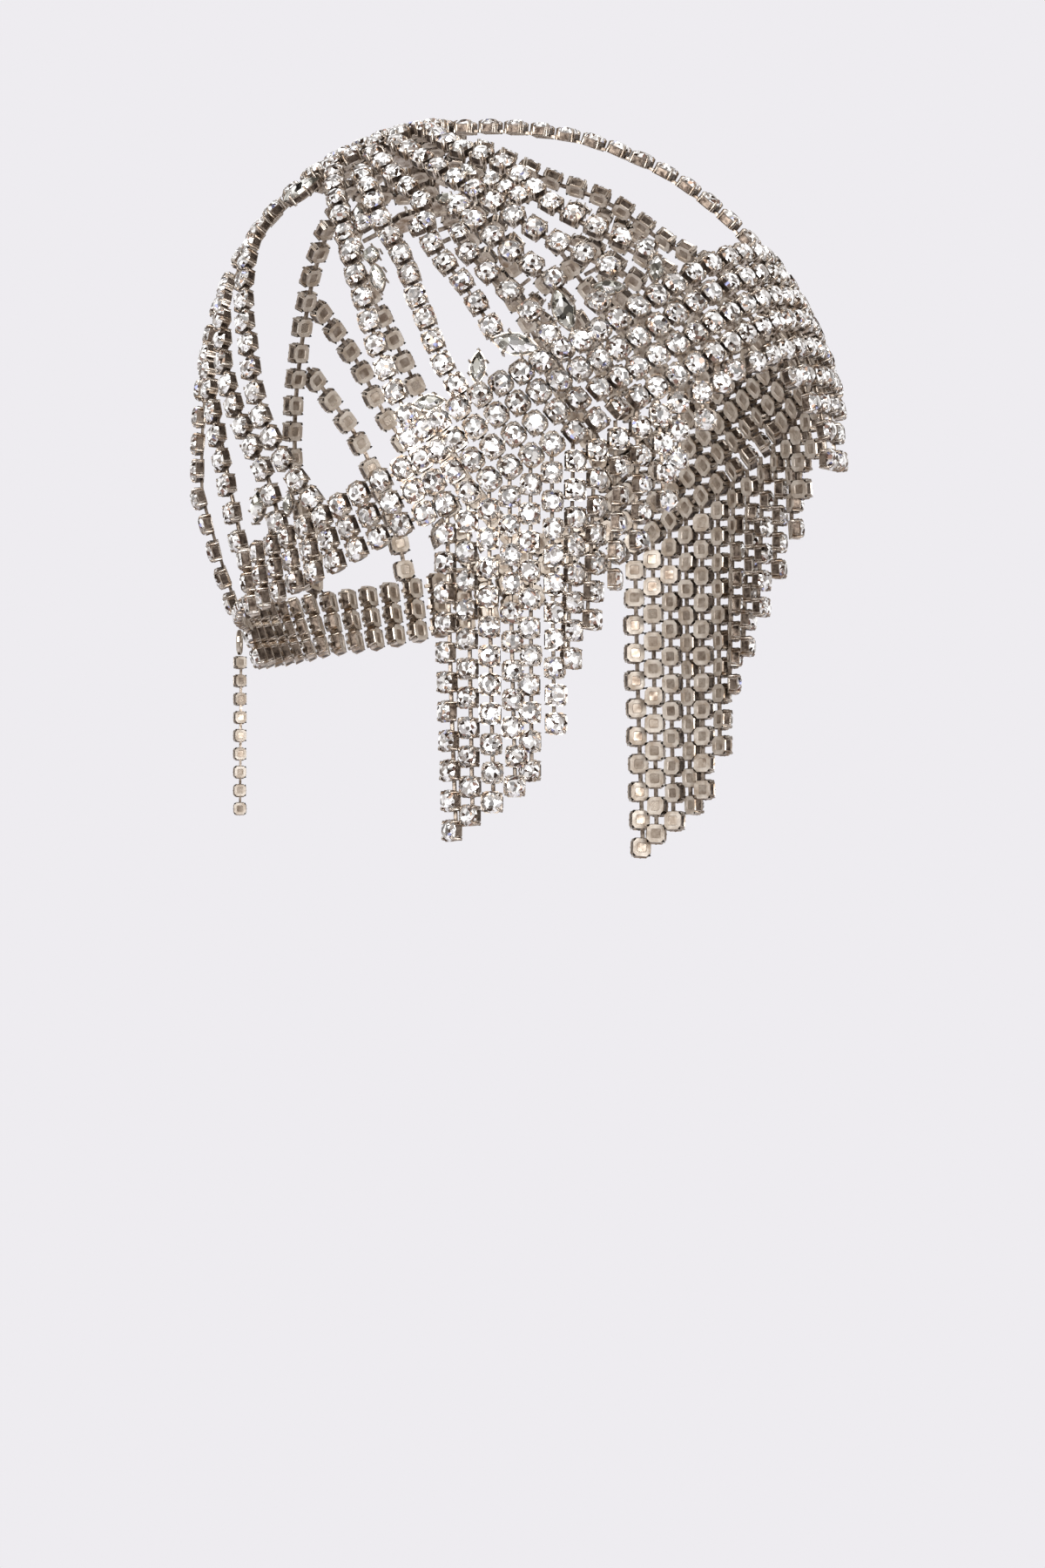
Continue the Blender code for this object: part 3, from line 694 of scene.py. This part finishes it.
def columnParts(column, side, twist, sway):
    parts = []
    centres = column["centres"]
    for index, centre in enumerate(centres):
        out = outwardAt(centre)
        other = centres[index + 1] if index + 1 < len(centres) else centres[index - 1]
        along = other - centre if index + 1 < len(centres) else centre - other
        along = (along - out * along.dot(out)).normalized()
        # a column lies a little on its side
        turned = between(columnTwist, column["turn"]) * side
        if abs(twist) > bandSet["turnsColumn"]:
            turned -= twist * max(0, bandSet["turnedRows"] - index) / (2 * bandSet["turnedRows"])
        parts.append(cupAt(centre, along, out, twist=turned, loose=bandSet["loose"],
                           master=closeCup))
        if index:
            parts.append(linkBetween(centres[index - 1], centre, out))
    before = centres[0]
    down = Vector((0, 0, -1))
    hanging = hangingPlaces(column, side, sway)
    for index, centre in enumerate(hanging):
        out = outwardAt(centre)
        along = (down - out * down.dot(out)).normalized()
        turned = twist * min(1.0, (index + 1) / bandSet["turnWithin"])
        turned += dice.uniform(-bandSet["stray"], bandSet["stray"])
        parts.append(cupAt(centre, along, out, twist=turned, loose=bandSet["hangingLoose"]))
        parts.append(linkBetween(before, centre, out))
        before = centre
    return parts


for side, word in ((1, "right"), (-1, "left")):
    columns = bandColumns(side)
    hung = [column for column in columns if column["turn"] <= bandSet["fringeFrontTurn"]]
    parts = []
    for index, column in enumerate(columns):
        order = len(hung) - 1 - index
        hangs = 0 <= order < len(fringeTwist)
        twist, sway = (fringeTwist[order], fringeSway[order]) if hangs else (0, 0)
        parts += columnParts(column, side, twist * side, sway)
    for first, second in zip(columns, columns[1:]):
        for low, high in zip(first["centres"], second["centres"]):
            if (low - high).length < bandSet["solderReach"]:   # solder joins neighbouring cups
                parts.append(linkBetween(low, high, outwardAt(low)))
    piece = joined("set_band_" + word, parts)
    standIn(piece, "set_stones", "band_" + word)
print("band and fringe ready")


# Boat-shaped stones in their settings. X is the long axis.

navetteSet = {"length": 0.0150, "width": 0.0072, "height": 0.0046, "sides": 12,
              "outline": ((1.0, 0.0), (0.866, 0.30), (0.5, 0.76), (0.0, 1.0)), "slack": 0.05,
              "wall": 0.0022, "foot": (0.86, 0.80), "rim": 0.0004, "recess": 0.0002,
              "stoneShare": 0.90, "girdle": 0.0019, "girdleBand": 0.0005, "crown": 0.0020,
              "shoulder": (0.80, 0.72), "lowerShare": 0.55, "upperShare": 0.45,
              "table": (0.50, 0.40), "sideProngs": (52, 128, 232, 308), "sideProngOut": 0.62,
              "tipProngUp": 0.0002}
# length, width and height of each kind
navetteSizes = {"large": (0.0150, 0.0072, 0.0046), "small": (0.0104, 0.0052, 0.0040),
                "tiny": (0.0072, 0.0038, 0.0034), "oval": (0.0058, 0.0056, 0.0040)}
navetteKinds = {"navette_field_1": "small", "navette_field_2": "small", "navette_field_3": "large",
                "navette_field_4": "large", "navette_field_5": "small", "navette_field_6": "small",
                "navette_ab_upper": "tiny", "cross_stone": "oval", "navette_ab_lower": "small",
                "navette_c": "tiny", "navette_de": "tiny", "navette_back_1": "tiny",
                "navette_back_2": "small", "navette_back_3": "large"}
longSlots = [cupMetal, windowPaintedShade, longStone]


def boatOutline(half, width):
    # squeezes a disc into a boat with two points: width shares at shares of the half length
    for share, wide in navetteSet["outline"]:
        for sign in ((1, -1) if share else (1,)):
            pickVerts(lambda co: abs(co.x - sign * share * half) < half * navetteSet["slack"])
            now = math.sqrt(max(0.0, 1 - share ** 2)) * half
            factor = wide * width / 2 / now if now > 0 else 1
            bpy.ops.transform.resize(value=(1, factor, 1), center_override=(0, 0, 0))


def startBoat(name, share):
    # a boat-shaped face in edit mode, at these shares of the full length and width
    half = navetteSet["length"] / 2
    deselectAll()
    bpy.ops.mesh.primitive_circle_add(vertices=navetteSet["sides"], radius=half, fill_type="NGON",
                                      location=(0, 0, 0))
    boat = named(name, longSlots)
    startEdit("VERT")
    boatOutline(half, navetteSet["width"])
    bpy.ops.mesh.select_all(action="SELECT")
    bpy.ops.transform.resize(value=(share[0], share[1], 1), center_override=(0, 0, 0))
    return boat


def raiseTop(height, share=(1, 1)):
    bpy.ops.mesh.extrude_region_move(TRANSFORM_OT_translate={"value": (0, 0, height)})
    if share != (1, 1):
        bpy.ops.transform.resize(value=(share[0], share[1], 1))


def makeNavette():
    foot, shoulder, table = navetteSet["foot"], navetteSet["shoulder"], navetteSet["table"]
    wall = startBoat("navetteMaster", foot)
    raiseTop(navetteSet["wall"], (1 / foot[0], 1 / foot[1]))
    bpy.ops.mesh.select_mode(type="FACE")
    # the navette's recessed windows take the dark brass, painted shade in the recesses
    pickFaces(slopes)
    bpy.ops.mesh.inset(thickness=navetteSet["rim"], depth=-navetteSet["recess"], use_individual=True)
    giveSlot(windowSlot)
    # the inner top face under the stone takes the dark brass too, painted shade under the stone
    pickFaces(facesUp)
    bpy.ops.mesh.inset(thickness=navetteSet["rim"])
    giveSlot(windowSlot)
    bpy.ops.mesh.select_all(action="SELECT")
    bpy.ops.mesh.normals_make_consistent(inside=False)
    endEdit()
    settle(wall)
    stone = startBoat("navetteStone", (navetteSet["stoneShare"], navetteSet["stoneShare"]))
    bpy.ops.transform.translate(value=(0, 0, navetteSet["girdle"]))
    raiseTop(navetteSet["girdleBand"])
    raiseTop(navetteSet["crown"] * navetteSet["lowerShare"], shoulder)
    raiseTop(navetteSet["crown"] * navetteSet["upperShare"],
             (table[0] / shoulder[0], table[1] / shoulder[1]))
    bpy.ops.mesh.select_mode(type="FACE")
    pickFaces(slopes)
    bpy.ops.mesh.quads_convert_to_tris()
    bpy.ops.mesh.select_all(action="SELECT")
    bpy.ops.mesh.normals_make_consistent(inside=False)
    giveSlot(stoneSlot)
    endEdit()
    settle(stone)
    parts = [wall, stone]
    prong = makeProng()
    tips = [(turn, navetteSet["length"] / 2, navetteSet["tipProngUp"]) for turn in (0, 180)]
    sides = [(turn, navetteSet["width"] * navetteSet["sideProngOut"], 0)
             for turn in navetteSet["sideProngs"]]
    for turn, reach, low in tips + sides:
        place = Matrix.Rotation(math.radians(turn), 4, "Z") @ Matrix.Translation(
            (reach - cupSet["prongOut"], 0, low))
        parts.append(copyOf(prong, place))
    bpy.data.objects.remove(prong)
    return joined("navetteMaster", parts)


def longAxisOf(node):
    # the two points of the setting are the pair of corners furthest apart
    corners = [vert.co for vert in nodes[node].data.vertices]
    far = max(corners, key=lambda co: (co - corners[0]).length)
    other = max(corners, key=lambda co: (co - far).length)
    return far.copy(), other.copy()


navette = makeNavette()
for name, kind in navetteKinds.items():
    for word in ("right", "left"):
        node = name + "_" + word
        low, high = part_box(node)
        centre = fromMiddle((low + high) / 2)
        out = outwardAt(centre)
        first, second = longAxisOf(node)
        along = second - first
        along = (along - out * along.dot(out)).normalized()
        length, width, height = navetteSizes[kind]
        stretch = (length / navetteSet["length"], width / navetteSet["width"],
                   height / navetteSet["height"])
        piece = copyOf(navette, matrixOf(centre + out * chainSet["lift"], along, out, 1, stretch))
        piece.name = "set_" + node
        piece.data.name = piece.name
        standIn(piece, "crystal", node)
print("boat-shaped stones ready:", len(navette.data.polygons), "faces each")


# Crown: oval rings of cups soldered side by side, two large boats and a big middle stone

# each ring: half width, half depth, number of cups and their scale
crownSet = {"setBack": 0.024, "spoke": 0.0095, "steps": 720, "neighbours": 2, "loose": 0.8,
            "rings": [(0.0316, 0.0186, 23, 1.0), (0.0247, 0.0117, 17, 1.0),
                      (0.0195, 0.0071, 17, 0.52)],
            "boatOffset": 0.0125, "boatTip": 0.0030, "boatScale": 0.9}


def crownSeat(x, y, way):
    centre = overCrown(x, crownSet["setBack"] + y)
    out = outwardAt(centre)
    along = (way - out * way.dot(out)).normalized()
    return centre + out * chainSet["lift"], along, out


parts = []
seats = []
for halfWidth, halfDepth, count, scale in crownSet["rings"]:
    # cups stand evenly along the oval, not by angle
    steps = crownSet["steps"]
    angles = [math.tau * i / steps for i in range(steps + 1)]
    fine = [(halfWidth * math.cos(angle), halfDepth * math.sin(angle)) for angle in angles]
    marks = [0.0]
    for (x0, y0), (x1, y1) in zip(fine, fine[1:]):
        marks.append(marks[-1] + math.hypot(x1 - x0, y1 - y0))
    for index in range(count):
        wanted = marks[-1] * index / count
        spot = next(i for i, mark in enumerate(marks) if mark >= wanted)
        x, y = fine[spot]
        x1, y1 = fine[(spot + 1) % steps]
        if scale < 1 and abs(y) < crownSet["boatTip"]:   # the boats' tips reach in here
            continue
        centre, along, out = crownSeat(x, y, Vector((x1 - x, y1 - y, 0)))
        parts.append(cupAt(centre, along, out, scale, loose=crownSet["loose"]))
        seats.append(centre)
for sign in (1, -1):
    centre, along, out = crownSeat(sign * crownSet["boatOffset"], 0, Vector((1, 0, 0)))
    parts.append(copyOf(navette, matrixOf(centre, along, out, crownSet["boatScale"])))
    seats.append(centre)
for index, seat in enumerate(seats):
    # each cup is soldered to the nearest ones behind it in the list
    nearest = sorted(seats[:index], key=lambda other: (other - seat).length)
    for other in nearest[:crownSet["neighbours"]]:
        if (other - seat).length < crownSet["spoke"]:
            parts.append(linkBetween(seat, other, outwardAt(seat)))
piece = joined("set_crown_rosette", parts)
standIn(piece, "set_stones", "crown_rosette")

middleStone = {"radius": 0.0047, "sides": 12, "girdle": 0.0024, "crown": 0.0026, "table": 0.58,
               "collet": 0.0002, "colletHeight": 0.0022, "rim": 0.0005, "frame": 0.0003,
               "recess": 0.0002, "prongs": 6, "prongUp": 0.0006}


def makeMiddleStone():
    stone = makeStone(middleStone["radius"], middleStone["sides"], middleStone["girdle"],
                      middleStone["crown"], middleStone["table"], stoneSlot, stoneSlot, longSlots)
    deselectAll()
    bpy.ops.mesh.primitive_cylinder_add(
        vertices=middleStone["sides"], radius=middleStone["radius"] + middleStone["collet"],
        depth=middleStone["colletHeight"], location=(0, 0, middleStone["colletHeight"] / 2))
    collet = named("middleCollet", longSlots)
    startEdit()
    pickFaces(facesUp)
    bpy.ops.mesh.inset(thickness=middleStone["rim"])
    # the collet's recessed windows take the dark brass, painted shade in the recesses
    pickFaces(slopes)
    bpy.ops.mesh.inset(thickness=middleStone["frame"], depth=-middleStone["recess"],
                       use_individual=True)
    giveSlot(windowSlot)
    endEdit()
    settle(collet)
    parts = [collet, stone]
    prong = makeProng()
    outwards = Matrix.Translation((middleStone["radius"] - cupSet["prongOut"], 0,
                                   middleStone["prongUp"]))
    for index in range(middleStone["prongs"]):
        turn = Matrix.Rotation(math.radians(360 / middleStone["prongs"] * index), 4, "Z")
        parts.append(copyOf(prong, turn @ outwards))
    bpy.data.objects.remove(prong)
    return joined("middleStoneMaster", parts)


centre, along, out = crownSeat(0, 0, Vector((1, 0, 0)))
middle = makeMiddleStone()
piece = copyOf(middle, matrixOf(centre, along, out))
piece.name = "set_crown_centre_stone"
piece.data.name = piece.name
standIn(piece, "crystal", "crown_centre_stone")
print("crown ready")


# Nape: fine chain, ring and free tail

closureRoute = [(122, -24), (132, -26), (146, -28.5), (160, -30.5), (168, -32)]
chainOn("closure_chain", smoothRoute(closureRoute), chainSet["finePitch"], chainSet["fineScale"])

tailSet = {"cups": 9, "firstTurn": 218, "lastTurn": 244, "middle": 0.0022, "loose": 0.5}
low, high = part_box("extender_tail")
axis = (low + high) / 2
parts = []
before = None
for index in range(tailSet["cups"]):
    # the tail hangs turned on itself, with its stones to the far side
    share = index / (tailSet["cups"] - 1)
    turn = tailSet["firstTurn"] + (tailSet["lastTurn"] - tailSet["firstTurn"]) * share
    facing = towards(turn, 0, 1)
    height = high.z - chainSet["halfCup"] * chainSet["fineScale"] - index * chainSet["finePitch"]
    spot = Vector((axis.x, axis.y, height)) - facing * tailSet["middle"] * chainSet["fineScale"]
    parts.append(cupAt(spot, Vector((0, 0, -1)), facing, chainSet["fineScale"],
                       loose=tailSet["loose"]))
    if before is not None:
        parts.append(linkBetween(before, spot, facing, chainSet["fineScale"]))
    before = spot
piece = joined("chain_extender_tail", parts)
standIn(piece, "set_stones", "extender_tail")

ring = nodes["clasp_ring"]
ring.data.materials.clear()
ring.data.materials.append(ringMetal)

for master in (cup, closeCup, link, navette, middle):
    bpy.data.objects.remove(master)
print("nape ready")


# Camera where the photograph was taken from: 22 degrees towards the front from square on.
# originAt is where the middle of the form stands in the picture, in its pixels.
cameraSet = {"turn": 22.0, "lookUp": 2.5, "distance": 2.0, "pixelsPerMetre": 3876.0,
             "originAt": (530.0, 572.0), "image": (1200, 1800), "sensor": 36}


def makeCamera():
    turn, look = math.radians(cameraSet["turn"]), math.radians(cameraSet["lookUp"])
    forward = Vector((math.cos(turn) * math.cos(look), math.sin(turn) * math.cos(look),
                      math.sin(look)))
    right = Vector((math.sin(turn), -math.cos(turn), 0))
    up = right.cross(forward)
    across = (cameraSet["image"][0] / 2 - cameraSet["originAt"][0]) / cameraSet["pixelsPerMetre"]
    down = (cameraSet["image"][1] / 2 - cameraSet["originAt"][1]) / cameraSet["pixelsPerMetre"]
    axisPoint = right * across - up * down
    data = bpy.data.cameras.new("photoCamera")
    data.sensor_width = cameraSet["sensor"]
    data.lens = (cameraSet["distance"] * cameraSet["pixelsPerMetre"] * cameraSet["sensor"]
                 / cameraSet["image"][1])
    camera = bpy.data.objects.new("photoCamera", data)
    bpy.context.scene.collection.objects.link(camera)
    camera.location = axisPoint - forward * cameraSet["distance"]
    camera.rotation_mode = "QUATERNION"
    camera.rotation_quaternion = forward.to_track_quat("-Z", "Y")
    bpy.context.scene.camera = camera
    return forward, right, up


forward, right, up = makeCamera()

# Studio: pale floor well below, pale room, two soft boxes at the camera and one above
lightSet = {"key": {"at": (-0.9, 0.7, -1.5), "size": 0.9, "power": 28},
            "fill": {"at": (1.0, 0.25, -1.3), "size": 0.8, "power": 14},
            "top": {"at": (0.1, 1.5, 0.2), "size": 1.2, "power": 7}}


def makeLights():
    for name, light in lightSet.items():
        data = bpy.data.lights.new(name, "AREA")
        data.size = light["size"]
        data.energy = light["power"]
        lamp = bpy.data.objects.new(name, data)
        bpy.context.scene.collection.objects.link(lamp)
        place = right * light["at"][0] + up * light["at"][1] + forward * light["at"][2]
        lamp.location = place
        lamp.rotation_mode = "QUATERNION"
        lamp.rotation_quaternion = (-place).to_track_quat("-Z", "Y")


roomSet = {"patches": 4.2, "darkFrom": 0.45, "darkTo": 0.95, "darker": 0.06, "strength": 1.25,
           "seen": "#EEECF0"}


def makeRoom():
    # what the eye sees is one pale lavender grey; what the metal mirrors has light and dark places
    # and is darker overhead
    world = bpy.data.worlds.new("studioRoom")
    bpy.context.scene.world = world
    world.use_nodes = True
    tree = world.node_tree
    tree.nodes.clear()
    place = addNode(tree, "ShaderNodeTexCoord")
    noise = addNode(tree, "ShaderNodeTexNoise", inputs={
        "Vector": place.outputs["Generated"], "Scale": roomSet["patches"], "Detail": 1.0,
        "Roughness": 0.5})
    axes = addNode(tree, "ShaderNodeSeparateXYZ", inputs={"Vector": place.outputs["Generated"]})
    overhead = addNode(tree, "ShaderNodeMapRange", inputs={
        "Value": axes.outputs["Z"], "From Min": roomSet["darkFrom"], "From Max": roomSet["darkTo"],
        "To Min": 0.0, "To Max": roomSet["darker"]})
    level = addNode(tree, "ShaderNodeMath", {"operation": "SUBTRACT"},
                    {0: noise.outputs["Fac"], 1: overhead.outputs["Result"]})
    ramp = rampOf(tree, level.outputs["Value"], [
        (0.37, "#2B211A"), (0.45, "#8F8780"), (0.53, "#E6E4E4"), (0.61, "#FFFFFF")])
    mirrored = addNode(tree, "ShaderNodeBackground", inputs={
        "Color": ramp.outputs["Color"], "Strength": roomSet["strength"]})
    seen = addNode(tree, "ShaderNodeBackground", inputs={
        "Color": linear(roomSet["seen"]), "Strength": 1.0})
    ray = addNode(tree, "ShaderNodeLightPath")
    mix = addNode(tree, "ShaderNodeMixShader", inputs={
        0: ray.outputs["Is Camera Ray"], 1: mirrored.outputs[0], 2: seen.outputs[0]})
    addNode(tree, "ShaderNodeOutputWorld", inputs={"Surface": mix.outputs[0]})


floorSet = {"size": 6, "height": -1.2, "patches": 2.0, "roughness": 0.9}


def makeFloor():
    deselectAll()
    bpy.ops.mesh.primitive_plane_add(size=floorSet["size"], location=(0, 0, floorSet["height"]))
    floor = named("studioFloor")
    material, tree, shader = newMaterial("paleStudioPaper")
    place = addNode(tree, "ShaderNodeTexCoord")
    noise = addNode(tree, "ShaderNodeTexNoise", inputs={
        "Vector": place.outputs["Object"], "Scale": floorSet["patches"]})
    ramp = rampOf(tree, noise.outputs["Fac"], [(0.3, "#E6E4E8"), (0.7, "#EAE8EC")])
    tree.links.new(ramp.outputs["Color"], shader.inputs["Base Color"])
    shader.inputs["Roughness"].default_value = floorSet["roughness"]
    floor.data.materials.append(material)


makeLights()
makeRoom()
makeFloor()
bpy.context.scene.view_settings.view_transform = "Standard"
print("camera, light and room ready")
